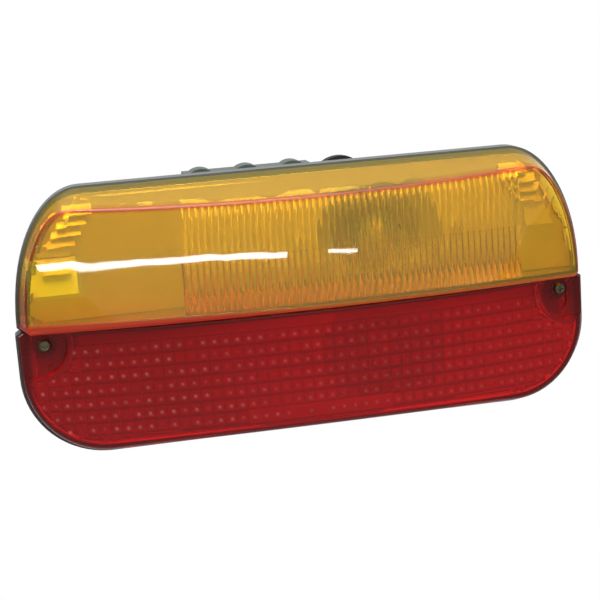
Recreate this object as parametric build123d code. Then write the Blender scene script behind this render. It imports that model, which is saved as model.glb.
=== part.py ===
from build123d import *
import math
import os

os.makedirs("parts", exist_ok=True)

# Driving dimensions in mm. X is the width, the lenses face -Y, Z is up.
# The origin is the middle of the rear mounting face, half way between the two studs.
# Depths are counted backwards from the front edge of the housing's rim.
# Heights are counted from the line where the two lenses meet.
HALF_W = 125.0
LOWER_OUT = 1.0
HIGH = 59.3
LOW = 56.5
CORNER_RX = 31.5
CORNER_LOW = 36.2
NOTCH = 1.8

# Housing: rim band with a groove for the lens foot, and a narrower box behind it.
LIP = 0.9
FOOT = 3.0
BAND = 6.0
LENS_SEAT = 2.0
GASKET = 1.5
RIM_DEEP = 9.0
BOX_INSET = 5.0
BOX_DEEP = 40.0
WALL = 2.5
PARTITION = 3.0
STANDOFF = 12.0
EDGE_R = 1.2

# Lens faces: both bow across the width, and the amber one leans back and bows less towards the top.
AMBER_DEEP = 21.0
AMBER_BOW_R = 720.0
AMBER_LEAN = 0.121
BOW_FADE = 0.5
RED_DEEP = 19.0
RED_BOW_R = 514.0
LENS_WALL = 2.6
SIDE_DRAFT = 0.3
TOP_DRAFT = 0.714
CORNER_DRAFT = 0.849
RED_DRAFT = 0.25
AMBER_EDGE_R = 1.4
RED_EDGE_R = 1.6

# Optics moulded on the inner faces: flutes in the amber lens, pillows in the red one.
FLUTE_PITCH = 2.75
FLUTE_HIGH = 0.8
FLUTE_FROM = -55.0
FLUTE_COUNT = 54
TIER_Z = 25.0
PILLOW_X = 4.88
PILLOW_Z = 5.75
PILLOW_HIGH = 1.3
PILLOW_TOP = 6.8
PILLOW_BORDER = 4.0

# Lens screws and the pockets they stand in.
SCREW_IN = 11.8
SCREW_DROP = 6.2
HEAD_R = 2.8
HEAD_HIGH = 2.1
SHANK_R = 1.45
SCREW_PLAY = 0.15
POCKET_R = 13.5
POCKET_OUT = 4.5
POCKET_DRAFT = 0.12
PLATE = 3.0
WELL_R = 3.7
WELL_DEEP = 0.9
WELL_LONG = 6.0
SEAL = 0.7

# Bulbs in bayonet holders, and the bright trays round them.
BULB_X = 34.0
GLASS_LONG = 22.0
GLASS_R = 12.4
GLASS_WALL = 0.9
CAP_R = 7.5
CAP_LONG = 19.0
SLEEVE_PLAY = 0.2
SLEEVE_WALL = 0.9
SLEEVE_LONG = 18.0
FLANGE_R = 10.5
FLANGE = 1.2
DISC = 1.6
BUTTON_R = 2.5
BUTTON = 1.0
PIN_R = 1.0
STRIP = 0.8
STRIP_W = 8.0
TRAY = 1.5
TRAY_PLAY = 0.3
TRAY_CLEAR = 3.5
BOWL_R = 28.0
BOWL_DEEP = 20.0
COLUMN_R = 3.5
TRAY_SCREW_LONG = 12.0
STEP_COUNT = 4
STEP_HIGH = 4.2
STEP_DROP = 4.3
STEP_DEEP = 3.0
STEP_IN = 36.0
STEP_SLANT = 2.7
STEP_LAST = 12.0

# Rear side: studs, terminals under their cover, and the cable grommet.
STUD_X = 75.0
STUD_R = 3.0
STUD_LONG = 18.0
BOSS_R = 11.0
GUSSET_LONG = 9.0
GUSSET = 2.0
TAB_X = -16.0
TAB_PITCH = 21.0
TAB_W = 6.3
TAB = 0.8
KNUCKLE_R = 8.0
KNUCKLE_DROP = 10.3
COVER_WALL = 1.5
COVER_HEAD = 1.6
GROMMET_R = 13.5
GROMMET_NECK_R = 7.0
GROMMET_SNAP = 0.7
GROMMET_BORE_R = 3.5
GROMMET_LONG = 8.0
GROMMET_GAP = 0.5

# Places that follow from the sizes above.
REAR = BOX_DEEP + STANDOFF
RIM_Y = -REAR
GROOVE = LENS_SEAT + GASKET
FOOT_IN = LIP + FOOT
INSIDE = BOX_DEEP - WALL
ROOM_IN = BOX_INSET + WALL
ROOM_TOP = HIGH - ROOM_IN
ROOM_LOW = ROOM_IN - LOW
HALF_WALL = PARTITION / 2
TURN_Z = (ROOM_TOP + HALF_WALL) / 2
STOP_Z = (ROOM_LOW - HALF_WALL) / 2
SCREW_X = HALF_W + LOWER_OUT - SCREW_IN
SCREW_Z = -SCREW_DROP
POCKET_X = SCREW_X + POCKET_OUT
BLANK_DEEP = 1.15 * AMBER_DEEP
SPAN = HIGH + BAND
REACH = HALF_W + BAND
TRAY_FRONT = LENS_SEAT - TRAY
TRAY_IN = FOOT_IN + TRAY_PLAY
TRAY_EDGE = LENS_WALL + TRAY_PLAY


def at(depth):
    """Plane parallel to the rim, with local x along X, local y along Z and its normal forwards."""
    return Plane(origin=(0, RIM_Y + depth, 0), x_dir=(1, 0, 0), z_dir=(0, -1, 0))


def slab(face, near, far):
    """Flat face made solid between two depths."""
    return extrude(at(far) * face, far - near)


def peg(r, near, far, x=0.0, z=0.0):
    """Round bar along Y between two depths."""
    return Pos(x, RIM_Y + (near + far) / 2, z) * Rot(90, 0, 0) * Cylinder(r, far - near)


def block(x0, x1, near, far, z0, z1):
    """Box between two corners, its Y given as depths."""
    centre = Pos((x0 + x1) / 2, RIM_Y + (near + far) / 2, (z0 + z1) / 2)
    return centre * Box(x1 - x0, far - near, z1 - z0)


def spun(points, x=0.0, z=0.0):
    """Body of revolution about a Y axis from (radius, depth) points."""
    face = make_face(Polyline(*[(r, RIM_Y + depth) for r, depth in points], close=True))
    return Pos(x, 0, z) * revolve(face, Axis.Y)


def upper(side, top, rx):
    """Upper half of the lamp's outline: elliptical ends under a straight top, notched at the meeting line."""
    a = HALF_W - side
    t = HIGH - top
    left = EllipticalCenterArc((-a + rx, NOTCH), rx, t - NOTCH, 90, arc_size=90)
    right = EllipticalCenterArc((a - rx, NOTCH), rx, t - NOTCH, 0, arc_size=90)
    over = Line((-a + rx, t), (a - rx, t))
    base = Polyline((-a, NOTCH), (-a + NOTCH, 0), (a - NOTCH, 0), (a, NOTCH))
    return make_face([left, over, right, base])


def lower(inset, top=0.0):
    """Lower half of the outline: a little wider, with round corners, notched to meet the upper half."""
    a = HALF_W + LOWER_OUT - inset
    b = -LOW + inset
    r = CORNER_LOW - inset
    meet = HALF_W - inset - NOTCH
    left = CenterArc((-a + r, b + r), r, 180, 90)
    right = CenterArc((a - r, b + r), r, 270, 90)
    under = Line((-a + r, b), (a - r, b))
    over = Polyline((a, b + r), (a, top - NOTCH), (meet, top), (-meet, top), (-a, top - NOTCH), (-a, b + r))
    return make_face([left, under, right, over])


def outline(inset):
    """Whole outline of the lamp, drawn in by inset."""
    return upper(inset, inset, CORNER_RX - inset) + lower(inset)


def screw(head_r, head_high, long):
    """Pan-head screw with a cross recess, seated at y = 0, its shank running along +Y."""
    crown = head_r * 0.72
    points = [(0, -head_high), (crown, -head_high), (head_r, -head_high * 0.45), (head_r, 0)]
    points += [(SHANK_R, 0), (SHANK_R, long - SHANK_R), (0, long)]
    body = revolve(make_face(Polyline(*points, close=True)), Axis.Y)
    recess = Pos(0, -head_high, 0)
    body -= recess * Box(head_r * 1.1, head_high * 1.2, head_r * 0.28)
    body -= recess * Box(head_r * 0.28, head_high * 1.2, head_r * 1.1)
    return body


# Amber lens: one deep moulding with a rounded front edge, its lower wall overhanging the red lens.
# Its face is ruled from one level plane to the next, between arcs that flatten towards the top.


def amber_front(x, z, behind=0.0):
    """Point on the amber face at x, on a level plane at height z, moved back by behind."""
    bow = x * x / (2 * AMBER_BOW_R) * (1 - BOW_FADE * z / HIGH)
    return (x, RIM_Y - AMBER_DEEP + AMBER_LEAN * z + bow + behind)


def amber_side(z0, z1, line):
    """Everything behind the amber face from z0 to z1, with line(z) giving the edges of its front."""
    ends = []
    for z in (z0, z1):
        front = line(z)
        back = RIM_Y + BLANK_DEEP
        sides = Polyline(front[-1] @ 1, (REACH, back), (-REACH, back), front[0] @ 0)
        ends.append(Pos(0, 0, z) * make_face([*front, sides]))
    return loft(ends, ruled=True)


def plain_line(z):
    """Front of the amber lens at height z, as one arc."""
    return [ThreePointArc(amber_front(-REACH, z), amber_front(0, z), amber_front(REACH, z))]


front_side = LIP + SIDE_DRAFT * BLANK_DEEP
front_top = LIP + TOP_DRAFT * BLANK_DEEP
front_rx = CORNER_RX - LIP - CORNER_DRAFT * BLANK_DEEP
foot_face = upper(LIP, LIP, CORNER_RX - LIP)
amber_lens = loft([at(0) * foot_face, at(-BLANK_DEEP) * upper(front_side, front_top, front_rx)], ruled=True)
amber_lens = Part() + (amber_lens & amber_side(-BAND, SPAN, plain_line))
amber_face = amber_lens.faces().filter_by(GeomType.PLANE, reverse=True).sort_by(SortBy.AREA)[-1]
amber_lens = fillet(amber_face.edges(), AMBER_EDGE_R) + slab(foot_face, 0, LENS_SEAT)


def fluted_line(shift):
    """Inner face of the amber lens: a row of flutes, starting shift from the first one's place."""
    first = FLUTE_FROM + shift
    last = first + FLUTE_COUNT * FLUTE_PITCH

    def line(z):
        row = []
        for k in range(FLUTE_COUNT):
            for share, rise in ((0, 0), (0.25, 0.72), (0.5, 1), (0.75, 0.72)):
                x = first + (k + share) * FLUTE_PITCH
                row.append(amber_front(x, z, LENS_WALL + rise * FLUTE_HIGH))
        row.append(amber_front(last, z, LENS_WALL))
        left = [amber_front(x, z, LENS_WALL) for x in (-REACH, (first - REACH) / 2)]
        right = [amber_front(x, z, LENS_WALL) for x in ((last + REACH) / 2, REACH)]
        return [ThreePointArc(*left, row[0]), *Polyline(*row).edges(), ThreePointArc(row[-1], *right)]

    return line


foot_hole = upper(FOOT_IN, FOOT_IN, CORNER_RX - FOOT_IN)
front_hole = upper(front_side + LENS_WALL, front_top + LENS_WALL, front_rx - LENS_WALL)
amber_room = loft([at(0) * foot_hole, at(-BLANK_DEEP) * front_hole], ruled=True)
low_tier = amber_side(-BAND, TIER_Z, fluted_line(0.0))
high_tier = amber_side(TIER_Z, SPAN, fluted_line(FLUTE_PITCH / 2))
amber_room = (amber_room & low_tier) + (amber_room & high_tier)
amber_room += slab(foot_hole, -LIP, LENS_SEAT)
amber_lens -= amber_room & block(-HALF_W, HALF_W, -BLANK_DEEP, LENS_SEAT, LENS_WALL, HIGH)
export_step(amber_lens, "parts/amber_lens.step")

# Red lens: set back under the amber one, its upper corners pocketed round the two lens screws.
red_axis = RIM_Y - RED_DEEP + RED_BOW_R
red_tip = LIP + RED_DRAFT * BLANK_DEEP
red_lens = loft([at(0) * lower(LIP), at(-BLANK_DEEP) * lower(red_tip)], ruled=True)
red_lens = Part() + (red_lens & (Pos(0, red_axis, 0) * Cylinder(RED_BOW_R, 4 * HALF_W)))
red_face = red_lens.faces().filter_by(GeomType.CYLINDER).sort_by(SortBy.AREA)[-1]
red_lens = fillet(red_face.edges(), RED_EDGE_R) + slab(lower(LIP), 0, LENS_SEAT)


def pocket(x, grow, near, far):
    """Round pocket about the lens screw at x, set further out than it and wider towards the front."""
    back_r = POCKET_R + grow - POCKET_DRAFT * (far + PLATE)
    front_r = POCKET_R + grow - POCKET_DRAFT * (near + PLATE)
    centre = math.copysign(POCKET_X, x)
    return Pos(centre, RIM_Y + (near + far) / 2, SCREW_Z) * Rot(90, 0, 0) * Cone(back_r, front_r, far - near)


def plain(x, z):
    """True where the red face has no pillows: its border and the walls of the screw pockets."""
    deep = RED_DEEP - x * x / (2 * RED_BOW_R)
    inset = LIP + RED_DRAFT * deep + PILLOW_BORDER
    a = HALF_W + LOWER_OUT - inset
    b = LOW - inset
    r = CORNER_LOW - inset
    wall = POCKET_R + LENS_WALL + POCKET_DRAFT * deep
    over_x = abs(x) - (a - r)
    over_z = -z - (b - r)
    if abs(x) > a or z < -b or math.hypot(abs(x) - POCKET_X, z - SCREW_Z) < wall:
        return True
    return over_x > 0 and over_z > 0 and math.hypot(over_x, over_z) > r


def flat(*points):
    """Flat face through points in space."""
    return Face(Wire.make_polygon([Vector(*p) for p in points], close=True))


def pillow_room():
    """Space behind the red face: flat strips across the bow, dented by rows of domed pillows."""
    r = RED_BOW_R - LENS_WALL
    columns = int(2 * (HALF_W - BOX_INSET) / PILLOW_X)
    rows = int((LOW - BOX_INSET - PILLOW_TOP) / PILLOW_Z)
    half = PILLOW_X * columns / 2
    xs = [-REACH] + [-half + k * PILLOW_X for k in range(columns + 1)] + [REACH]
    ys = [red_axis - math.sqrt(r * r - x * x) for x in xs]
    zs = [SPAN] + [-PILLOW_TOP - k * PILLOW_Z for k in range(rows + 1)] + [-SPAN]
    back = RIM_Y + RIM_DEEP
    faces = []
    for i in range(len(xs) - 1):
        x0, x1, y0, y1 = xs[i], xs[i + 1], ys[i], ys[i + 1]
        wide = math.hypot(x1 - x0, y1 - y0)
        rise_x = -PILLOW_HIGH * (y1 - y0) / wide
        rise_y = PILLOW_HIGH * (x1 - x0) / wide

        def above(u, v, rise):
            """Point over the cell, u and v across it, raised by a share of the pillow's height."""
            x = x0 + u * (x1 - x0) + rise * rise_x
            y = y0 + u * (y1 - y0) + rise * rise_y
            return (x, y, z0 + v * (z1 - z0))

        for j in range(len(zs) - 1):
            z0, z1 = zs[j], zs[j + 1]
            base = [(x0, y0, z0), (x1, y1, z0), (x1, y1, z1), (x0, y0, z1)]
            edge = i in (0, len(xs) - 2) or j in (0, len(zs) - 2)
            if edge or any(plain(x, z) for x, _, z in base):
                faces.append(flat(*base))
                continue
            ring = [above(u, v, 0.72) for u, v in ((0.25, 0.25), (0.75, 0.25), (0.75, 0.75), (0.25, 0.75))]
            peak = above(0.5, 0.5, 1)
            for k in range(4):
                n = (k + 1) % 4
                faces.append(flat(base[k], base[n], ring[n], ring[k]))
                faces.append(flat(ring[k], ring[n], peak))
    for z in (zs[0], zs[-1]):
        faces.append(flat(*[(x, y, z) for x, y in zip(xs, ys)], (xs[-1], back, z), (xs[0], back, z)))
    for x, y in ((xs[0], ys[0]), (xs[-1], ys[-1])):
        faces.append(flat(*[(x, y, z) for z in zs], (x, back, zs[-1]), (x, back, zs[0])))
    corners = [(xs[0], zs[0]), (xs[-1], zs[0]), (xs[-1], zs[-1]), (xs[0], zs[-1])]
    faces.append(flat(*[(x, back, z) for x, z in corners]))
    return Solid(Shell(faces))


red_hole = lower(FOOT_IN, -LENS_WALL)
red_room = loft([at(0) * red_hole, at(-BLANK_DEEP) * lower(red_tip + LENS_WALL, -LENS_WALL)], ruled=True)
red_room = (red_room + slab(red_hole, -LIP / 2, LENS_SEAT)) & pillow_room()
well_floor = WELL_DEEP - PLATE
for x in (-SCREW_X, SCREW_X):
    red_room -= pocket(x, LENS_WALL, -BLANK_DEEP, RIM_DEEP)
    red_lens -= pocket(x, 0.0, -BLANK_DEEP, -PLATE)
    red_lens -= peg(WELL_R, -RED_DEEP, well_floor, x, SCREW_Z)
    red_lens -= peg(WELL_R, -RED_DEEP, well_floor, x, SCREW_Z - WELL_LONG)
    red_lens -= block(x - WELL_R, x + WELL_R, -RED_DEEP, well_floor, SCREW_Z - WELL_LONG, SCREW_Z)
    red_lens -= peg(SHANK_R + SCREW_PLAY, -RED_DEEP, RIM_DEEP, x, SCREW_Z)
red_lens -= red_room
export_step(red_lens, "parts/red_lens.step")

# Lens screws in the wells, on rubber washers.
seat = well_floor - SEAL
bolt = screw(HEAD_R, HEAD_HIGH, RIM_DEEP - seat - SHANK_R)
lens_screws = [Pos(x, RIM_Y + seat, SCREW_Z) * bolt for x in (-SCREW_X, SCREW_X)]
export_step(Compound(children=lens_screws), "parts/lens_screws.step")
hole_r = SHANK_R + SCREW_PLAY
washer = spun([(hole_r, seat), (HEAD_R, seat), (HEAD_R, well_floor), (hole_r, well_floor)])
screw_seals = [Pos(x, 0, SCREW_Z) * washer for x in (-SCREW_X, SCREW_X)]
export_step(Compound(children=screw_seals), "parts/screw_seals.step")

# Gasket: rubber ring at the bottom of the rim groove.
groove_ring = outline(LIP) - outline(FOOT_IN)
lens_gasket = slab(groove_ring, LENS_SEAT, GROOVE)
export_step(lens_gasket, "parts/lens_gasket.step")


def bowl(x, z, back):
    """Solid paraboloid behind the tray plate about a bulb's axis, its bottom moved back."""
    bottom = TRAY_FRONT + BOWL_DEEP + back
    shares = (0, 0.25, 0.45, 0.63, 0.78, 0.9, 1)
    points = [(share * BOWL_R, bottom - share * share * BOWL_DEEP) for share in shares]
    return spun(points + [(BOWL_R, TRAY_FRONT - BOWL_DEEP), (0, TRAY_FRONT - BOWL_DEEP)], x, z)


def tray(plate, z, z0, z1):
    """Plate with a round bowl behind it for the bulb at height z, closed by flat walls above and below."""
    body = plate + (bowl(BULB_X, z, TRAY) & block(-HALF_W, HALF_W, TRAY_FRONT, BOX_DEEP, z0, z1))
    body -= bowl(BULB_X, z, 0.0) & block(-HALF_W, HALF_W, -BOWL_DEEP, BOX_DEEP, z0 + TRAY, z1 - TRAY)
    return body - peg(CAP_R + 3 * SLEEVE_WALL, TRAY_FRONT, BOX_DEEP, BULB_X, z)


# Reflector of the turn signal: a plate on the rim's ledge that fills the amber lens's foot, one bowl round
# the bulb, and a stack of slanting steps at each end.
end_rx = CORNER_RX - TRAY_IN
end_top = HIGH - TRAY_IN
plate = slab(upper(TRAY_IN, TRAY_IN, end_rx), TRAY_FRONT, LENS_SEAT)
plate &= block(-HALF_W, HALF_W, TRAY_FRONT, LENS_SEAT, TRAY_EDGE, HIGH)
turn_reflector = tray(plate, TURN_Z, HALF_WALL + TRAY_CLEAR, ROOM_TOP - TRAY_CLEAR)
root = RIM_Y + TRAY_FRONT
crest = root - STEP_DEEP
for k in range(STEP_COUNT + 1):
    z1 = end_top - STEP_DROP - k * STEP_HIGH
    z0 = z1 - 0.9 * (STEP_HIGH if k < STEP_COUNT else STEP_LAST)
    round_in = end_rx * (1 - math.sqrt(1 - ((z1 - NOTCH) / (end_top - NOTCH)) ** 2))
    reach = HALF_W - TRAY_IN - round_in - STEP_DEEP
    start = HALF_W - STEP_IN + STEP_SLANT * k
    nose = z0 + 0.12 * STEP_HIGH
    wedge = [(root + TRAY / 2, z0), (root + TRAY / 2, z1), (root, z1), (crest, nose), (crest, z0)]
    for x in (start, -reach):
        across = Plane(origin=(x, 0, 0), x_dir=(0, 1, 0), z_dir=(1, 0, 0))
        turn_reflector += extrude(across * make_face(Polyline(*wedge, close=True)), reach - start)

# Reflector of the stop and tail lamp: the same kind of plate, cut out round the two screw pockets.
plate = slab(lower(TRAY_IN, -TRAY_EDGE), TRAY_FRONT, LENS_SEAT)
for x in (-POCKET_X, POCKET_X):
    plate -= peg(POCKET_R + LENS_WALL + TRAY_PLAY, TRAY_FRONT, LENS_SEAT, x, SCREW_Z)
stop_reflector = tray(plate, STOP_Z, ROOM_LOW + TRAY_CLEAR, -HALF_WALL - TRAY_CLEAR)

# Screws that hold both reflectors to columns of the housing.
column_out = BOWL_R + COLUMN_R + TRAY_CLEAR
turn_holes = [(BULB_X - column_out, TURN_Z), (BULB_X + column_out, TURN_Z)]
stop_holes = [(BULB_X - column_out, STOP_Z), (BULB_X + column_out, STOP_Z)]
for x, z in turn_holes:
    turn_reflector -= peg(hole_r, TRAY_FRONT, LENS_SEAT, x, z)
for x, z in stop_holes:
    stop_reflector -= peg(hole_r, TRAY_FRONT, LENS_SEAT, x, z)
export_step(turn_reflector, "parts/turn_reflector.step")
export_step(stop_reflector, "parts/stop_reflector.step")
bolt = screw(HEAD_R, HEAD_HIGH, TRAY_SCREW_LONG)
reflector_screws = [Pos(x, RIM_Y + TRAY_FRONT, z) * bolt for x, z in turn_holes + stop_holes]
export_step(Compound(children=reflector_screws), "parts/reflector_screws.step")

# Bulbs and holders, from the rear wall forwards: flanged sleeve, contact disc, cap with pins, glass.
flange_front = INSIDE - FLANGE
disc_front = flange_front - DISC
cap_back = disc_front - BUTTON
cap_front = cap_back - CAP_LONG
shoulder = cap_back - BUTTON
sleeve_front = flange_front - SLEEVE_LONG
sleeve_r = CAP_R + SLEEVE_PLAY
pin_depth = sleeve_front + SLEEVE_LONG / 2
slot = PIN_R + SLEEVE_PLAY
glass_front = cap_front - GLASS_LONG
thin = 1 - GLASS_WALL / GLASS_R
glass_shape = [(0.56, 0.0), (0.58, 0.08), (0.86, 0.25), (1.0, 0.44)]
glass_shape += [(0.96, 0.66), (0.69, 0.87), (0.27, 0.985)]
for name, z in (("turn", TURN_Z), ("stop", STOP_Z)):
    outside = [(r * GLASS_R, cap_front - s * GLASS_LONG) for r, s in glass_shape]
    inside = [(r * GLASS_R * thin, cap_front - s * (GLASS_LONG - GLASS_WALL)) for r, s in glass_shape]
    tips = [(0, glass_front), (0, glass_front + GLASS_WALL)]
    glass = spun(outside + tips + inside[::-1], BULB_X, z)
    export_step(glass, f"parts/{name}_bulb_glass.step")
    cap = spun([(0, cap_front), (CAP_R, cap_front), (CAP_R, shoulder - BUTTON), (BUTTON_R + BUTTON, shoulder),
                (BUTTON_R, shoulder), (BUTTON_R, cap_back), (0, cap_back)], BULB_X, z)
    pins = Rot(0, 90, 0) * Cylinder(PIN_R, 2 * sleeve_r + SLEEVE_WALL)
    cap += Pos(BULB_X, RIM_Y + pin_depth, z) * pins
    export_step(cap, f"parts/{name}_bulb_cap.step")
    holder = spun([(sleeve_r, sleeve_front), (sleeve_r + SLEEVE_WALL, sleeve_front),
                   (sleeve_r + SLEEVE_WALL, flange_front), (FLANGE_R, flange_front), (FLANGE_R, INSIDE),
                   (0, INSIDE), (0, flange_front), (sleeve_r, flange_front)], BULB_X, z)
    holder -= block(BULB_X - FLANGE_R, BULB_X + FLANGE_R, cap_front, pin_depth + slot, z - slot, z + slot)
    export_step(holder, f"parts/{name}_lampholder.step")
    contact = spun([(0, cap_back), (BUTTON_R, cap_back), (BUTTON_R, disc_front), (sleeve_r, disc_front),
                    (sleeve_r, flange_front), (0, flange_front)], BULB_X, z)
    export_step(contact, f"parts/{name}_contact.step")

# Earth strip: joins the two holders along the rear wall, through a notch in the partition.
strip_x0 = BULB_X - STRIP_W / 2
strip_x1 = BULB_X + STRIP_W / 2
earth_strip = block(strip_x0, strip_x1, INSIDE - STRIP, INSIDE, STOP_Z, TURN_Z)
for z in (TURN_Z, STOP_Z):
    earth_strip -= peg(FLANGE_R, cap_front, REAR, BULB_X, z)
export_step(earth_strip, "parts/earth_strip.step")

# Terminal blades: tabs with a broad head, pushed through the rear wall from inside.
knuckle_z = HIGH - KNUCKLE_DROP
tab_z = knuckle_z - KNUCKLE_R / 2
cover_back = REAR - 1.25 * COVER_HEAD
tab_end = cover_back - 2 * COVER_WALL
tab_xs = [TAB_X - TAB_PITCH, TAB_X, TAB_X + TAB_PITCH]
tabs = []
for x in tab_xs:
    tab = block(x - TAB_W / 2, x + TAB_W / 2, INSIDE - TRAY, tab_end, tab_z - TAB / 2, tab_z + TAB / 2)
    tab += block(x - 0.7 * TAB_W, x + 0.7 * TAB_W, INSIDE - TRAY, INSIDE, tab_z - 3 * TAB, tab_z + 3 * TAB)
    tabs.append(tab)
export_step(Compound(children=tabs), "parts/terminal_blades.step")

# Terminal cover: moulded cap with a knuckle over each blade, held by two screws between them.
cover_holes = [(x + TAB_PITCH / 2, knuckle_z - 1.1 * KNUCKLE_R) for x in tab_xs[:2]]


def knuckled(inset):
    """Flat outline of the cover, drawn in by inset."""
    low = knuckle_z - 1.9 * KNUCKLE_R + inset
    high = knuckle_z + 0.82 * KNUCKLE_R - inset
    x0 = tab_xs[0] - KNUCKLE_R + inset
    x1 = tab_xs[-1] + KNUCKLE_R - inset
    face = Pos((x0 + x1) / 2, (low + high) / 2) * Rectangle(x1 - x0, high - low)
    for x in tab_xs:
        face += Pos(x, knuckle_z) * Circle(KNUCKLE_R - inset)
    return face


terminal_cover = slab(knuckled(0), BOX_DEEP, cover_back)
terminal_cover -= slab(knuckled(COVER_WALL), INSIDE, cover_back - COVER_WALL)
for x, z in cover_holes:
    terminal_cover -= peg(hole_r, BOX_DEEP, REAR, x, z)
export_step(terminal_cover, "parts/terminal_cover.step")
bolt = Rot(0, 0, 180) * screw(HEAD_R, COVER_HEAD, STANDOFF - WALL)
cover_screws = [Pos(x, RIM_Y + cover_back, z) * bolt for x, z in cover_holes]
export_step(Compound(children=cover_screws), "parts/cover_screws.step")

# Cable grommet: rubber, snapped into a hole in the rear wall beside the terminals.
snap_r = GROMMET_NECK_R + GROMMET_SNAP
grommet_x = tab_xs[-1] + KNUCKLE_R + GROMMET_GAP + GROMMET_R
grommet_z = ROOM_TOP - snap_r - GROMMET_GAP
grommet_front = INSIDE - 1.5 * WALL
grommet_back = BOX_DEEP + GROMMET_LONG
section = [(GROMMET_BORE_R, grommet_front), (GROMMET_NECK_R - GROMMET_SNAP, grommet_front)]
section += [(snap_r, INSIDE - WALL / 2), (snap_r, INSIDE)]
section += [(GROMMET_NECK_R, INSIDE), (GROMMET_NECK_R, BOX_DEEP)]
section += [(GROMMET_R, BOX_DEEP), (GROMMET_R, grommet_back - WALL), (GROMMET_R - WALL / 2, grommet_back)]
section.append((GROMMET_BORE_R, grommet_back))
cable_grommet = spun(section, grommet_x, grommet_z)
export_step(cable_grommet, "parts/cable_grommet.step")

# Mounting studs: M6, each with a round head and a shoulder moulded into its boss.
head_back = REAR - STANDOFF / 2
stud_tip = REAR + STUD_LONG
stud = spun([(0, head_back - STUD_R), (2 * STUD_R, head_back - STUD_R), (2 * STUD_R, head_back),
             (1.2 * STUD_R, head_back), (1.2 * STUD_R, REAR), (STUD_R, REAR), (STUD_R, stud_tip - STUD_R / 4),
             (0.75 * STUD_R, stud_tip), (0, stud_tip)])
studs = [Pos(x, 0, 0) * stud for x in (-STUD_X, STUD_X)]
export_step(Compound(children=studs), "parts/mounting_studs.step")

# Housing: stepped box with the rim groove, partition, screw bosses, tray columns and ribbed stud bosses.
rim = slab(outline(0), 0, RIM_DEEP)
rim = fillet(rim.faces().sort_by(Axis.Y)[-1].edges(), EDGE_R)
box = slab(outline(BOX_INSET), RIM_DEEP - WALL, BOX_DEEP)
box = fillet(box.faces().sort_by(Axis.Y)[-1].edges(), EDGE_R)
housing = rim + box
housing -= slab(outline(BAND), 0, RIM_DEEP - WALL)
housing -= slab(outline(ROOM_IN), 0, INSIDE)
housing -= slab(outline(LIP), 0, LENS_SEAT)
housing -= slab(groove_ring, 0, GROOVE)
bury = BOX_DEEP - WALL / 2
divider = slab(outline(BAND - WALL / 4), LENS_SEAT, RIM_DEEP - WALL / 2)
divider += slab(outline(ROOM_IN - WALL / 4), LENS_SEAT, bury)
housing += divider & block(-HALF_W, HALF_W, LENS_SEAT, bury, -HALF_WALL, HALF_WALL)
for x in (-SCREW_X, SCREW_X):
    housing += peg(HEAD_R + 2 * SHANK_R, LENS_SEAT, RIM_DEEP, x, SCREW_Z)
for x, z in turn_holes + stop_holes:
    housing += peg(COLUMN_R, LENS_SEAT, bury, x, z)
for x, z in cover_holes:
    housing += peg(2 * SHANK_R, bury, cover_back - COVER_WALL, x, z)
fin = make_face(Polyline((0, RIM_Y + bury), (BOSS_R + GUSSET_LONG, RIM_Y + bury), (BOSS_R, -STANDOFF / 4),
                         (0, -STANDOFF / 4), close=True))
for x in (-STUD_X, STUD_X):
    housing += peg(BOSS_R, bury, REAR, x)
    for turn in (45, 135, 225, 315):
        housing += Pos(x, 0, 0) * Rot(0, turn, 0) * extrude(fin, GUSSET / 2, both=True)
housing -= peg(GROMMET_NECK_R, INSIDE - WALL, BOX_DEEP + WALL, grommet_x, grommet_z)
housing -= block(strip_x0, strip_x1, INSIDE - STRIP, INSIDE, -PARTITION, PARTITION)
for piece in lens_screws + reflector_screws + cover_screws + studs + tabs:
    housing -= piece
export_step(housing, "parts/housing.step")
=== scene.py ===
import math

import bmesh
import bpy
from mathutils import Matrix, Vector


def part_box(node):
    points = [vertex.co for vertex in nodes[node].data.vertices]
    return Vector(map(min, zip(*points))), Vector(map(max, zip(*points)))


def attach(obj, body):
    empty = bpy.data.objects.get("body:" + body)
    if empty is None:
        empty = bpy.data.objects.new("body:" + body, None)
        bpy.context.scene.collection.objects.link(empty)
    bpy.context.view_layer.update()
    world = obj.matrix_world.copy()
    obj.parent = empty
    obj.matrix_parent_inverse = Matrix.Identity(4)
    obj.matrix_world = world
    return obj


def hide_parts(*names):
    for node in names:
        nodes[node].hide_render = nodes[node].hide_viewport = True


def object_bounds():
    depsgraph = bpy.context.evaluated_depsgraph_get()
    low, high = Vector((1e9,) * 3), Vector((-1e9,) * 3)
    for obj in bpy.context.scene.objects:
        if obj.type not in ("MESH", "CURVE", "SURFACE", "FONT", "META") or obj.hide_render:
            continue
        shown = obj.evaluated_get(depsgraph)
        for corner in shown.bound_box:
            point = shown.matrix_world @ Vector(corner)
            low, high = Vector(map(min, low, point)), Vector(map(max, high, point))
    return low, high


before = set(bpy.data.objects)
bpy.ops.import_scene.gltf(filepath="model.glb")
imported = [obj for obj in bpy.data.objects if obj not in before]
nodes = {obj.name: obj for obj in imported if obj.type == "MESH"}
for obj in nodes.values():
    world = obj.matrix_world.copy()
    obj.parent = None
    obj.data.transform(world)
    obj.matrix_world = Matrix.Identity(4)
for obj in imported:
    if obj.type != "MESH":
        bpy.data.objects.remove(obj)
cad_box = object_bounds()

scene = bpy.context.scene


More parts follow.
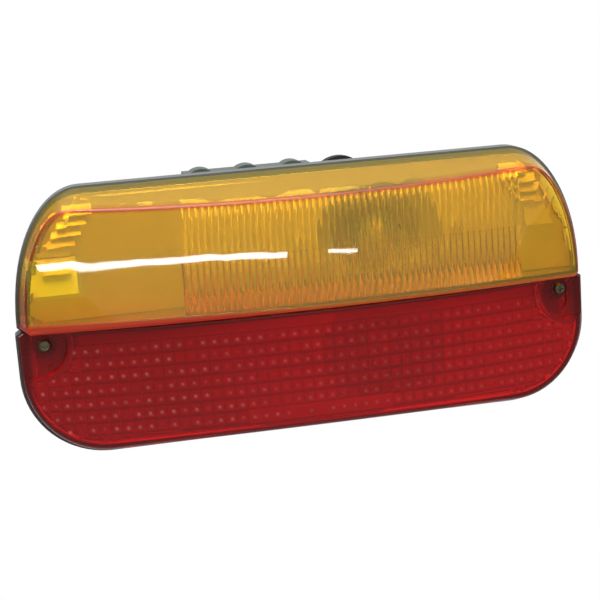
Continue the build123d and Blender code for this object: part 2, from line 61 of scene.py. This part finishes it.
# Housing: one injection moulding in grey plastic with a fine mould grain: a rim that holds the lenses,
# a narrower box behind it and two stud bosses at the back. Its inside is sprayed pale to return the light,
# and its rim carries painted shade at the sides and below.
class Shade:
    """A shader socket that takes part in sums; node() adds any other kind of node to its tree."""

    def __init__(self, tree, socket=None):
        self.tree = tree
        self.socket = socket

    def node(self, kind, settings=(), values=(), out=0):
        node = self.tree.nodes.new(kind)
        for key, value in dict(settings).items():
            setattr(node, key, value)
        for key, value in dict(values).items():
            if isinstance(value, Shade):
                self.tree.links.new(value.socket, node.inputs[key])
            else:
                node.inputs[key].default_value = value
        return Shade(self.tree, node.outputs[out] if node.outputs else None)

    def math(self, operation, a, b=0.0):
        return self.node("ShaderNodeMath", {"operation": operation}, {0: a, 1: b})

    def __add__(self, other):
        return self.math("ADD", self, other)

    def __radd__(self, other):
        return self.math("ADD", other, self)

    def __sub__(self, other):
        return self.math("SUBTRACT", self, other)

    def __rsub__(self, other):
        return self.math("SUBTRACT", other, self)

    def __mul__(self, other):
        return self.math("MULTIPLY", self, other)

    def __rmul__(self, other):
        return self.math("MULTIPLY", other, self)

    def __truediv__(self, other):
        return self.math("DIVIDE", self, other)

    def __rtruediv__(self, other):
        return self.math("DIVIDE", other, self)

    def __abs__(self):
        return self.math("ABSOLUTE", self)


def new_material(name):
    """Empty material and a Shade on its tree."""
    material = bpy.data.materials.new(name)
    material.use_nodes = True
    material.node_tree.nodes.clear()
    return material, Shade(material.node_tree)


def axes(shade, kind="Object"):
    """The three coordinates of a point, in metres, or of a direction."""
    place = shade.node("ShaderNodeTexCoord", out=kind)
    return [shade.node("ShaderNodeSeparateXYZ", values={0: place}, out=axis) for axis in "XYZ"]


def grain(shade, scale, detail=3.0, stretch=(1.0, 1.0, 1.0)):
    """Noise on object coordinates, in cells per metre, drawn out along an axis by stretch."""
    place = shade.node("ShaderNodeTexCoord", out="Object")
    if stretch != (1.0, 1.0, 1.0):
        place = shade.node("ShaderNodeMapping", values={"Vector": place, "Scale": stretch})
    return shade.node("ShaderNodeTexNoise", values={"Vector": place, "Scale": scale, "Detail": detail,
                                                    "Roughness": 0.55})


def rise(value, low, high):
    """0 where value is under low, 1 where it is over high, smooth between."""
    return value.node("ShaderNodeMapRange", {"interpolation_type": "SMOOTHSTEP"}, {0: value, 1: low, 2: high})


def fall(value, low, high):
    """1 where value is under low, 0 where it is over high, smooth between."""
    return 1.0 - rise(value, low, high)


def blend(share, a, b):
    """Colour a where share is 0 and colour b where it is 1."""
    a, b = (c if isinstance(c, Shade) else (*c, 1.0) for c in (a, b))
    return share.node("ShaderNodeMix", {"data_type": "RGBA"}, {0: share, 6: a, 7: b}, out=2)


def bump(height, distance):
    """Normal from a height field."""
    return height.node("ShaderNodeBump", values={"Distance": distance, "Height": height})


def skin(shade, volume=None, **values):
    """Closes a material with one Principled shader."""
    named = {key.replace("_", " ").title().replace("Ior", "IOR"): value for key, value in values.items()}
    surface = shade.node("ShaderNodeBsdfPrincipled", values=named)
    ends = {"Surface": surface}
    if volume:
        ends["Volume"] = volume
    shade.node("ShaderNodeOutputMaterial", values=ends)


def dress(material, *names):
    """Puts a material on CAD nodes."""
    for name in names:
        nodes[name].material_slots[0].material = material


def rounded_outline(x, z, half_x, half_z):
    """1 on a rounded oblong outline round the housing's middle, less inside it and more outside."""
    outline_z = 0.0014
    across = x / half_x
    upward = (z - outline_z) / half_z
    return across * across * across * across + upward * upward * upward * upward


box_half_x = 0.1188
box_half_z = 0.0516
box_back = -0.0128
rim_half_x = 0.1241
rim_half_z = 0.0568
rim_floor = -0.0440
rim_back = -0.0428
spray_soft = 0.0003
painted_shade_share = 0.75
grey_plastic, shade = new_material("grey_plastic")
scuff = grain(shade, 55.0, 5.0)
leather = grain(shade, 1500.0, 2.0)
x, y, z = axes(shade)
from_box = rounded_outline(x, z, box_half_x, box_half_z)
from_rim = rounded_outline(x, z, rim_half_x, rim_half_z)
in_box = fall(from_box, 0.97, 1.03) * fall(y, box_back - spray_soft, box_back)
in_rim = fall(from_rim, 0.86, 0.90) * fall(y, rim_floor - spray_soft, rim_floor)
sprayed = shade.math("MAXIMUM", in_box, in_rim)
# painted shade: the rim is darkened at its sides and below
beside = rise(abs(x), 0.117, 0.124) * fall(z, 0.020, 0.050)
below = fall(z, -0.050, -0.012)
painted_shade = shade.math("MAXIMUM", beside, below) * fall(y, rim_back - spray_soft, rim_back)
grey = blend(scuff, (0.072, 0.080, 0.072), (0.108, 0.116, 0.104))
grey = blend(painted_shade_share * painted_shade, grey, (0.035, 0.036, 0.034))
silver = blend(scuff, (0.62, 0.62, 0.60), (0.74, 0.74, 0.72))
skin(shade, base_color=blend(sprayed, grey, silver), roughness=0.42 + 0.16 * scuff,
     normal=bump(leather, 0.00012))
dress(grey_plastic, "housing")

# Seals: the gasket in the rim groove and the washers under the lens screws, cut from pale foam rubber.
# The gasket lies behind the clear foot of the lenses, so it lights their edges up.
pale_foam, shade = new_material("pale_foam")
bloom = grain(shade, 120.0, 4.0)
skin(shade, base_color=blend(bloom, (0.56, 0.56, 0.54), (0.70, 0.70, 0.68)),
     roughness=0.62 + 0.2 * bloom, normal=bump(grain(shade, 2200.0), 0.00006))
dress(pale_foam, "lens_gasket", "screw_seals")

# Reflectors: thin plastic trays behind the lenses, held by screws and aluminised in vacuum, so they are
# bright but a little wavy. Fine steps at the left end throw the light up, and heat has browned the bowl
# behind the amber half.
wave_high = 0.0002
bowl_hot = -0.0400
bowl_soft = 0.004
steps_left = -0.1190
steps_right = -0.0975
steps_low = 0.0140
steps_high = 0.0300
steps_slope = 0.55
block_soft = 0.0006


def within(value, low, high):
    """1 where value is between low and high, 0 a little outside."""
    return rise(value, low - block_soft, low) * fall(value, high, high + block_soft)


aluminised, shade = new_material("aluminised")
wave = grain(shade, 90.0, 2.0)
x, y, z = axes(shade)
stepped = within(x, steps_left, steps_right) * within(z, steps_low, steps_high)
relief = wave_high * wave + stepped * (steps_slope * (steps_low - z))
bright = blend(wave, (0.88, 0.88, 0.86), (0.95, 0.95, 0.93))
browned = rise(y, bowl_hot - bowl_soft, bowl_hot) * rise(z, 0.0, bowl_soft)
skin(shade, base_color=blend(browned, bright, (0.55, 0.36, 0.24)), metallic=1.0,
     roughness=0.50 + 0.12 * wave, normal=bump(relief, 1.0))
dress(aluminised, "turn_reflector", "stop_reflector")

# Screws: pan-head tapping screws of zinc plated steel. Those of the lens and the cover have an olive
# passivation, and those that hold the reflectors are bright.
olive_zinc, shade = new_material("zinc_plate")
stain = grain(shade, 420.0, 4.0)
skin(shade, base_color=blend(stain, (0.16, 0.155, 0.09), (0.25, 0.24, 0.15)), metallic=1.0,
     roughness=0.26 + 0.2 * stain, normal=bump(grain(shade, 3000.0), 0.00003))
dress(olive_zinc, "lens_screws", "cover_screws")
bright_zinc, shade = new_material("bright_zinc")
stain = grain(shade, 420.0, 4.0)
skin(shade, base_color=blend(stain, (0.82, 0.82, 0.79), (0.90, 0.90, 0.87)), metallic=1.0,
     roughness=0.45 + 0.2 * stain, normal=bump(grain(shade, 3000.0), 0.00003))
dress(bright_zinc, "reflector_screws")

# Lamp holders: pressed steel sleeves, zinc plated, with drawing marks along them.
# Their flanges lie on the rear wall of the housing.
pressed_steel, shade = new_material("pressed_steel")
drawn = grain(shade, 900.0, 4.0, stretch=(1.0, 0.06, 1.0))
skin(shade, base_color=blend(drawn, (0.50, 0.50, 0.48), (0.66, 0.66, 0.63)), metallic=1.0,
     roughness=0.25 + 0.2 * drawn, normal=bump(drawn, 0.00004))
dress(pressed_steel, "turn_lampholder", "stop_lampholder")

# Contact discs: brown laminated board with a solder button, set in the lamp holders
# behind the caps of the bulbs.
board, shade = new_material("laminated_board")
fibre = grain(shade, 1600.0, 4.0, stretch=(1.0, 1.0, 0.15))
skin(shade, base_color=blend(fibre, (0.10, 0.045, 0.02), (0.19, 0.09, 0.045)),
     roughness=0.45 + 0.2 * fibre, normal=bump(fibre, 0.00005))
dress(board, "turn_contact", "stop_contact")

# Bulbs: blown clear glass on nickel-plated brass caps, which sit in the lamp holders
# with their bayonet pins.
cap_metal, shade = new_material("cap_metal")
turned = grain(shade, 1200.0, 3.0, stretch=(0.1, 1.0, 0.1))
skin(shade, base_color=blend(turned, (0.58, 0.50, 0.33), (0.70, 0.62, 0.44)), metallic=1.0,
     roughness=0.24 + 0.18 * turned, normal=bump(turned, 0.00003))
dress(cap_metal, "turn_bulb_cap", "stop_bulb_cap")
clear_glass, shade = new_material("bulb_glass")
seed = grain(shade, 160.0, 2.0)
skin(shade, base_color=(1.0, 1.0, 1.0, 1.0), transmission_weight=1.0, ior=1.5,
     roughness=0.01 + 0.01 * seed, normal=bump(seed, 0.00005))
dress(clear_glass, "turn_bulb_glass", "stop_bulb_glass")

# Earth strip and terminal blades: punched from rolled brass strip. The strip joins the two lamp holders,
# and the blades go through the rear wall.
rolled_brass, shade = new_material("rolled_brass")
rolling = grain(shade, 800.0, 4.0, stretch=(1.0, 1.0, 0.05))
skin(shade, base_color=blend(rolling, (0.62, 0.44, 0.16), (0.76, 0.58, 0.26)), metallic=1.0,
     roughness=0.3 + 0.2 * rolling, normal=bump(rolling, 0.00003))
dress(rolled_brass, "earth_strip", "terminal_blades")

# Terminal cover: greenish grey plastic cap over the blades, moulded with the same grain as the housing
# and held by two screws.
cover_plastic, shade = new_material("cover_plastic")
dust = grain(shade, 70.0, 5.0)
skin(shade, base_color=blend(dust, (0.048, 0.066, 0.054), (0.074, 0.093, 0.079)),
     roughness=0.45 + 0.15 * dust, normal=bump(grain(shade, 1500.0, 2.0), 0.0001))
dress(cover_plastic, "terminal_cover")

# Cable grommet: soft black rubber with a dull bloom, snapped into a hole of the rear wall
# beside the terminal cover.
soft_rubber, shade = new_material("soft_rubber")
chalk = grain(shade, 200.0, 4.0)
skin(shade, base_color=blend(chalk, (0.008, 0.008, 0.008), (0.022, 0.022, 0.021)), specular_ior_level=0.2,
     roughness=0.5 + 0.2 * chalk, normal=bump(grain(shade, 2500.0), 0.00005))
dress(soft_rubber, "cable_grommet")

# Mounting studs: M6 steel, zinc plated, moulded into the rear bosses by their heads.
# The thread is one flank spun along a helix and cut off at both ends, and the head and shoulder are turned.
stud_zinc, shade = new_material("stud_zinc")
spangle = grain(shade, 300.0, 4.0)
skin(shade, base_color=blend(spangle, (0.52, 0.52, 0.50), (0.68, 0.68, 0.66)), metallic=1.0,
     roughness=0.28 + 0.2 * spangle, normal=bump(grain(shade, 2500.0), 0.00003))
stud_x = 0.075
stud_axis = (0.0, 1.0, 0.0)
head_r = 0.006
head_steps = 32
shoulder_r = 0.0036
crest_r = 0.0030
root_r = 0.00245
tip_share = 0.8
pitch = 0.001
turn_steps = 20
weld_gap = 0.000002
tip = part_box("mounting_studs")[1][1]
head_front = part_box("mounting_studs")[0][1]
head_back = head_front + crest_r
thread_start = -0.0005
thread_end = tip - crest_r / 4
turns = math.ceil((thread_end - thread_start) / pitch) + 3
stud_mesh = bpy.data.meshes.new("threaded_studs")
bm = bmesh.new()
for middle_x in (-stud_x, stud_x):
    stud = bmesh.new()
    flank = [stud.verts.new((middle_x + r, thread_start + k * pitch / 2 - 2 * pitch, 0.0))
             for k, r in enumerate((root_r, crest_r, root_r))]
    flank_edges = [stud.edges.new(pair) for pair in zip(flank, flank[1:])]
    bmesh.ops.spin(stud, geom=flank + flank_edges, cent=(middle_x, 0.0, 0.0), axis=stud_axis,
                   dvec=(0.0, pitch / turn_steps, 0.0), angle=2 * math.pi * turns, steps=turn_steps * turns)
    bmesh.ops.remove_doubles(stud, verts=stud.verts, dist=weld_gap)
    for cut, side in ((thread_start, -1.0), (thread_end, 1.0)):
        whole = stud.verts[:] + stud.edges[:] + stud.faces[:]
        bmesh.ops.bisect_plane(stud, geom=whole, plane_co=(0.0, cut, 0.0), plane_no=(0.0, side, 0.0),
                               clear_outer=True)
    end_edges = [e for e in stud.edges if e.is_boundary and e.verts[0].co.y > thread_end - pitch / 4]
    drawn_out = bmesh.ops.extrude_edge_only(stud, edges=end_edges)["geom"]
    point = [v for v in drawn_out if isinstance(v, bmesh.types.BMVert)]
    bmesh.ops.scale(stud, verts=point, vec=(tip_share, 1.0, tip_share),
                    space=Matrix.Translation((-middle_x, 0.0, 0.0)))
    bmesh.ops.translate(stud, verts=point, vec=(0.0, tip - thread_end, 0.0))
    bmesh.ops.holes_fill(stud, edges=[e for e in stud.edges if e.is_boundary], sides=0)
    outline = ((0.0, head_front), (head_r, head_front), (head_r, head_back), (shoulder_r, head_back),
               (shoulder_r, 0.0), (0.0, 0.0))
    lathe = [stud.verts.new((middle_x + r, along, 0.0)) for r, along in outline]
    lathe_edges = [stud.edges.new(pair) for pair in zip(lathe, lathe[1:])]
    bmesh.ops.spin(stud, geom=lathe + lathe_edges, cent=(middle_x, 0.0, 0.0), axis=stud_axis,
                   angle=2 * math.pi, steps=head_steps, use_merge=True)
    bmesh.ops.remove_doubles(stud, verts=stud.verts, dist=weld_gap)
    bmesh.ops.recalc_face_normals(stud, faces=stud.faces)
    stud.to_mesh(stud_mesh)
    stud.free()
    bm.from_mesh(stud_mesh)
bm.to_mesh(stud_mesh)
bm.free()
stud_mesh.shade_smooth()
stud_mesh.set_sharp_from_angle(angle=math.radians(40.0))
stud_mesh.materials.append(stud_zinc)
threaded_studs = bpy.data.objects.new("threaded_studs", stud_mesh)
scene.collection.objects.link(threaded_studs)
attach(threaded_studs, "root")
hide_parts("mounting_studs")

# Amber lens: clear acrylic dyed through, polished outside and fluted inside. Painted orange on its front edge
# and ends stands in for light seen through the thick dye, a painted glare of the reflector's steps lies at
# its left end, and its seam with the red half is frosted, with a painted red reflection.
optic_wide = 0.003
optic_turn = 0.2
edge_turns = (-0.975, -0.66)
pillow_turn = 0.7
pillow_area = 0.000006
same_place = 0.0000001


def moulded_lens(name, node, material, rounding):
    """Welded copy of a lens: its optics blend over edges under the rounding angle, its outside stays true."""
    drawn = nodes[node].data
    drawn_normals = iter(drawn.corner_normals)
    bm = bmesh.new()
    bm.from_mesh(drawn)
    kept_normal = bm.loops.layers.float_vector.new("kept_normal")
    for face in bm.faces:
        for loop in face.loops:
            loop[kept_normal] = next(drawn_normals).vector
    bmesh.ops.remove_doubles(bm, verts=bm.verts, dist=same_place)
    mesh = bpy.data.meshes.new(name)
    bm.to_mesh(mesh)
    bm.free()
    mesh.shade_smooth()
    mesh.set_sharp_from_angle(angle=math.radians(rounding))
    rounded = [corner.vector.copy() for corner in mesh.corner_normals]
    kept = mesh.attributes["kept_normal"]
    normals = [corner.vector.normalized() for corner in kept.data]
    mesh.attributes.remove(kept)
    for face in mesh.polygons:
        corners = [mesh.vertices[v].co for v in face.vertices]
        longest = max((corners[k] - corners[k - 1]).length for k in range(3))
        narrow = 2.0 * face.area / longest < optic_wide
        if narrow and face.normal.y > optic_turn:
            for k in face.loop_indices:
                normals[k] = rounded[k]
    mesh.normals_split_custom_set(normals)
    front_edge = [edge_turns[0] < face.normal.y < edge_turns[1] for face in mesh.polygons]
    pillow = [face.normal.y > pillow_turn and face.area < pillow_area for face in mesh.polygons]
    for kind, marks in (("front_edge", front_edge), ("pillow", pillow)):
        mesh.attributes.new(kind, "FLOAT", "FACE").data.foreach_set("value", [float(mark) for mark in marks])
    mesh.materials.clear()
    mesh.materials.append(material)
    piece = bpy.data.objects.new(name, mesh)
    scene.collection.objects.link(piece)
    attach(piece, "root")
    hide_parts(node)


def marked(shade, kind):
    """1 on the faces that the lens marks as this kind."""
    return shade.node("ShaderNodeAttribute", {"attribute_name": kind}, out="Fac")


def reach(a, b):
    """Distance that lies a one way and b the other."""
    return a.math("SQRT", a * a + b * b)


def zigzag(value, step):
    """0 at each whole step of value and 1 half way to the next."""
    return value.math("PINGPONG", value, step / 2) / (step / 2)


acrylic_ior = 1.49
edge_x = 0.097
edge_wide = 0.024
edge_low = 0.003
edge_high = 0.0444
edge_rise = 0.0031
block_left = -0.1185
block_right = -0.0965
block_low = 0.0150
block_high = 0.0310
block_step = 0.0016
seam_low = 0.0012
seam_high = 0.0028
seam_slope = 0.0155
amber_acrylic, shade = new_material("amber_acrylic")
haze = grain(shade, 60.0, 2.0)
dye = shade.node("ShaderNodeVolumeAbsorption", values={"Color": (0.963, 0.743, 0.0, 1.0), "Density": 150.0})
x, y, z = axes(shade)
aside = shade.math("MAXIMUM", abs(x) - edge_x, 0.0) / edge_wide
bowed = shade.math("MINIMUM", x * x / edge_x**2, 1.0)
upward = shade.math("MAXIMUM", z - edge_low, 0.0) / (edge_high + edge_rise * bowed)
outward = reach(aside, upward)
# painted orange band and line along the front edge, for light seen through the thick dye
near_edge = rise(outward, 0.955, 0.985) * fall(outward, 1.005, 1.03)
edge = marked(shade, "front_edge")
# painted glare: a bright stepped block standing in for the reflection of the reflector's steps
block = within(x, block_left, block_right) * within(z, block_low, block_high)
painted_step_glare = block * (0.6 + 0.4 * zigzag(z, block_step))
# painted orange on the end walls, for light seen through the thick dye
end_wall = rise(abs(x), 0.1203, 0.1215) * fall(z, 0.010, 0.032)
# painted reflection: the frosted seam is tinted red-orange, as if lit by the red half below
seam = fall(z + seam_slope * shade.math("MINIMUM", x, 0.0), seam_low, seam_high)
painted_red_reflection = blend(rise(x, -0.050, 0.030), (0.95, 0.09, 0.03), (1.0, 0.32, 0.05))
body = blend(0.8 * near_edge, (1.0, 0.76, 0.09), (0.95, 0.30, 0.03))
body = blend(edge, body, (0.80, 0.07, 0.005))
body = blend(painted_step_glare, body, (1.0, 0.92, 0.10))
body = blend(0.85 * end_wall, body, (1.0, 0.40, 0.05))
body = blend(seam, body, painted_red_reflection)
skin(shade, dye, base_color=body, transmission_weight=0.88, ior=acrylic_ior, metallic=0.45 * seam,
     roughness=0.01 + 0.02 * haze + 0.45 * seam + 0.4 * edge, normal=bump(haze, 0.000004))
moulded_lens("amber_cover", "amber_lens", amber_acrylic, 55.0)

# Red lens: the same acrylic with a strong red dye, its inner face a field of small pillows, with painted
# shade in the grooves between them and a painted glint on each. Two screws in its pockets hold it, painted
# light lightens the red round the pockets, and a plain border runs round it.
pillow_wide = 0.00488
pillow_high = 0.00575
pillow_left = -24.5 * pillow_wide
pillow_top = -0.0068
field_bottom = (-0.0478, -0.0470)
field_top = (-0.0075, pillow_top)
border_half_x = 0.1241
border_low = 0.0530
border_corner = 0.032
border_wide = 0.0040
pocket_x = 0.1187
pocket_z = -0.0062
pocket_r = 0.0165
pocket_soft = 0.0008
red_acrylic, shade = new_material("red_acrylic")
haze = grain(shade, 60.0, 2.0)
dye = shade.node("ShaderNodeVolumeAbsorption", values={"Color": (0.980, 0.0, 0.08, 1.0), "Density": 300.0})
x, y, z = axes(shade)
beside = 1.0 - zigzag(x - pillow_left, pillow_wide)
below = 1.0 - zigzag(z - pillow_top, pillow_high)
# painted shade: the grooves between the pillows are darkened
painted_groove_shade = shade.math("MAXIMUM", 0.7 * rise(beside, 0.55, 1.0), rise(below, 0.45, 1.0))
painted_groove_shade = painted_groove_shade * marked(shade, "pillow")
out_x = shade.math("MAXIMUM", abs(x) - (border_half_x - border_corner), 0.0)
out_z = shade.math("MAXIMUM", (border_corner - border_low) - z, 0.0)
border = rise(reach(out_x, out_z) - border_corner, -border_wide, -0.5 * border_wide)
# painted light: the red is lightened round the screw pockets
pocket = fall(reach(abs(x) - pocket_x, z - pocket_z), pocket_r - pocket_soft, pocket_r)
field = rise(z, *field_bottom) * fall(z, *field_top)
towards_right = rise(x, -0.080, 0.030)
# painted glint: a pale pink point of light on each pillow, strongest on the left
painted_glint = fall(beside, 0.10, 0.42) * fall(below, 0.10, 0.36) * field * (1.0 - pocket)
painted_glint = painted_glint * rise(grain(shade, 150.0, 1.0), 0.34, 0.60) * (1.0 - 0.65 * towards_right)
body = blend(towards_right, (0.74, 0.009, 0.012), (0.90, 0.012, 0.016))
body = blend(pocket, body, (1.0, 0.016, 0.020))
body = blend(painted_glint, body, (1.0, 0.46, 0.44))
body = blend(painted_groove_shade, body, (0.15, 0.002, 0.003))
body = blend(border, body, (0.55, 0.007, 0.009))
skin(shade, dye, base_color=body, transmission_weight=0.84, ior=acrylic_ior,
     roughness=0.01 + 0.02 * haze, normal=bump(haze, 0.000004))
moulded_lens("red_cover", "red_lens", red_acrylic, 60.0)

# Floor: a broad sheet well below the lamp, which is held up by its studs. It takes the lamp's soft shadow,
# is pale behind the lamp, where it runs into the white of the studio, and grey in front and far to the left.
floor_half = 6.0
floor_drop = 0.30
bm = bmesh.new()
bmesh.ops.create_grid(bm, x_segments=1, y_segments=1, size=floor_half)
bmesh.ops.translate(bm, verts=bm.verts, vec=(0.0, 0.0, cad_box[0][2] - floor_drop))
sheet = bpy.data.meshes.new("floor")
bm.to_mesh(sheet)
bm.free()
floor = bpy.data.objects.new("floor", sheet)
scene.collection.objects.link(floor)
pale, shade = new_material("pale_floor")
camera_ray = shade.node("ShaderNodeLightPath", out="Is Camera Ray")
glossy_ray = shade.node("ShaderNodeLightPath", out="Is Glossy Ray")
through_ray = shade.node("ShaderNodeLightPath", out="Is Transmission Ray")
seen_ray = shade.math("MAXIMUM", camera_ray, shade.math("MAXIMUM", glossy_ray, through_ray))
x, y, z = axes(shade)
lit = rise(x, -1.2, -0.6)
tone = blend(lit * rise(y, -0.6, 0.2), (0.28, 0.28, 0.28), (0.93, 0.93, 0.93))
matt = shade.node("ShaderNodeBsdfDiffuse", values={"Color": tone})
white = shade.node("ShaderNodeEmission", values={"Color": (1.0, 1.0, 1.0, 1.0), "Strength": 1.0})
whitened = seen_ray * lit * rise(y, 0.15, 0.4)
mixed = shade.node("ShaderNodeMixShader", values={0: whitened, 1: matt, 2: white})
shade.node("ShaderNodeOutputMaterial", values={"Surface": mixed})
sheet.materials.append(pale)

# Studio: white behind the lamp, grey in front of it and dark on the far left, with a broad soft lamp overhead
# and a thin tube lamp in front, in short lengths that follow a slight curve.
front_strength = 0.52
left_loss = 0.75
scene.view_settings.view_transform = "Standard"
world = bpy.data.worlds.new("studio")
scene.world = world
world.use_nodes = True
world.node_tree.nodes.clear()
shade = Shade(world.node_tree)
x, y, z = axes(shade, "Generated")
lit = rise(x, -0.5, -0.3)
behind = rise(y, -0.3, 0.3)
strength = front_strength + (1.0 - front_strength) * behind - left_loss * behind * (1.0 - lit)
background = shade.node("ShaderNodeBackground", values={"Color": (1.0, 1.0, 1.0, 1.0), "Strength": strength})
shade.node("ShaderNodeOutputWorld", values={"Surface": background})


def lamp_panel(name, start, end, high, radiance, aim):
    """Rectangular lamp that runs from start to end, high across and turned towards aim."""
    along = (end - start).normalized()
    middle = (start + end) / 2
    towards = aim - middle
    face = (towards - along * towards.dot(along)).normalized()
    lamp = bpy.data.lights.new(name, "AREA")
    lamp.shape = "RECTANGLE"
    lamp.size = (end - start).length
    lamp.size_y = high
    lamp.energy = radiance * math.pi * lamp.size * lamp.size_y
    holder = bpy.data.objects.new(name, lamp)
    turn = Matrix((along, along.cross(face), -face)).transposed().to_4x4()
    holder.matrix_world = Matrix.Translation(middle) @ turn
    scene.collection.objects.link(holder)
    return holder


overhead_left = Vector((-0.45, -0.6, 1.1))
overhead_right = Vector((0.30, -0.6, 1.1))
overhead_wide = 0.6
overhead_radiance = 15.0
object_middle = Vector((0.0, -0.05, 0.0))
lamp_panel("overhead", overhead_left, overhead_right, overhead_wide, overhead_radiance, object_middle)
amber_middle = Vector((-0.06, -0.066, 0.026))
tube_bends = [Vector(p) for p in ((-0.231, -0.5265, -0.0125), (-0.1622, -0.6854, 0.0234),
                                  (-0.0383, -0.8158, 0.0676), (0.1109, -0.9098, 0.0742))]
tube_lift = 0.003
tube_lift_share = 0.06
tube_dip = 0.0010
tube_dip_at = 0.14
tube_dip_share = 0.05
tube_lengths = 20
tube_radiance = 28.0
tube_left = 0.0038
tube_right = 0.0055
tube_end_left = Vector((0.185, -0.900, 0.0719))
tube_end_right = Vector((0.236, -0.890, 0.0663))
tube_end_high = 0.003


def along_tube(share):
    """Point on the tube's gentle curve, which lifts at its left end and dips a little after it."""
    rest = 1.0 - share
    first, second, third, last = tube_bends
    point = rest**3 * first + 3 * rest**2 * share * second + 3 * rest * share**2 * third + share**3 * last
    point.z += tube_lift * math.exp(-(share / tube_lift_share) ** 2)
    point.z -= tube_dip * math.exp(-((share - tube_dip_at) / tube_dip_share) ** 2)
    return point


tubes = []
for k in range(tube_lengths):
    share = k / tube_lengths
    high = tube_left + (tube_right - tube_left) * share
    tubes.append(lamp_panel(f"tube_{k}", along_tube(share), along_tube(share + 1 / tube_lengths), high,
                            tube_radiance, amber_middle))
tubes.append(lamp_panel("tube_end", tube_end_left, tube_end_right, tube_end_high,
                        tube_radiance, amber_middle))
for tube in tubes:
    tube.visible_transmission = False

# Camera: a long lens a little above and to the left of the lamp's front,
# tilted by a small roll.
azimuth = math.radians(-10.07)
elevation = math.radians(12.0)
roll = math.radians(-4.11)
distance = 0.620
target = Vector((-0.00493, -0.062, 0.00276))
level = Vector((math.sin(azimuth), -math.cos(azimuth), 0.0))
back = level * math.cos(elevation) + Vector((0.0, 0.0, math.sin(elevation)))
right = Vector((0.0, 0.0, 1.0)).cross(back).normalized()
up = back.cross(right)
rolled_right = right * math.cos(roll) + up * math.sin(roll)
rolled_up = up * math.cos(roll) - right * math.sin(roll)
view = bpy.data.cameras.new("camera")
view.lens = 86.76
view.sensor_width = 36.0
view.clip_start = 0.01
camera = bpy.data.objects.new("camera", view)
turn = Matrix((rolled_right, rolled_up, back)).transposed().to_4x4()
camera.matrix_world = Matrix.Translation(target + back * distance) @ turn
scene.collection.objects.link(camera)
scene.camera = camera
